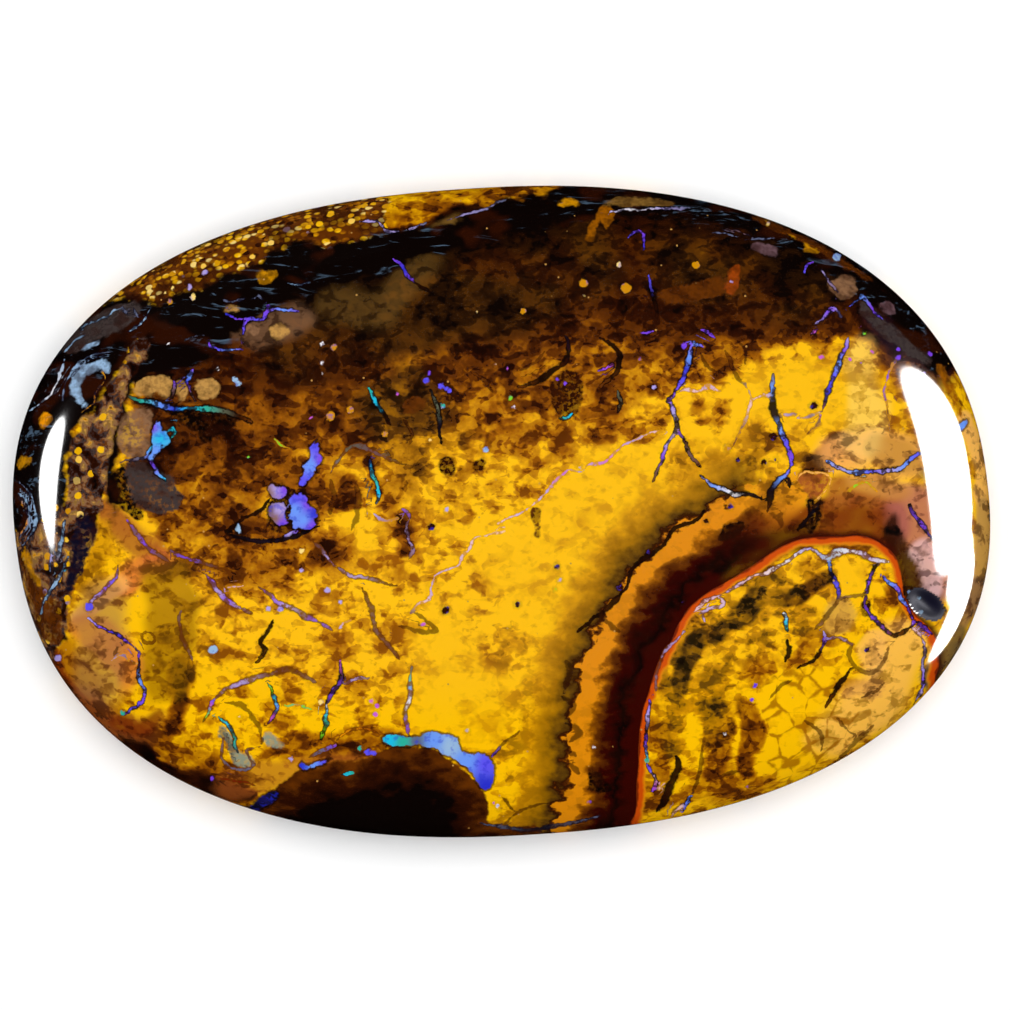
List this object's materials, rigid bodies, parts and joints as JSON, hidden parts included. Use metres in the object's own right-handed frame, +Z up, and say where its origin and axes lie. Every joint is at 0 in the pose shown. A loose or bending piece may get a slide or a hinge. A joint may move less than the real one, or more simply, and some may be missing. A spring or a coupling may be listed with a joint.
{
  "type": "polished boulder opal cabochon",
  "caption": "Loose oval gemstone cabochon with a low polished dome, rounded shoulder and flat base, for a bezel setting or display.",
  "frame": {"origin": "middle of the flat ground base, on the surface that the stone lies on", "axes": "+X along the stone's long way, towards the end with the banded nodule; +Y across it; +Z up out of the polished dome"},
  "size_m": [0.03, 0.02, 0.005],
  "materials": {
    "opal_stone": "high polish on the dome, fine ground finish on the base"
  },
  "bodies": {
    "root": {"opal_stone": "opal_stone"}
  },
  "joints": []
}
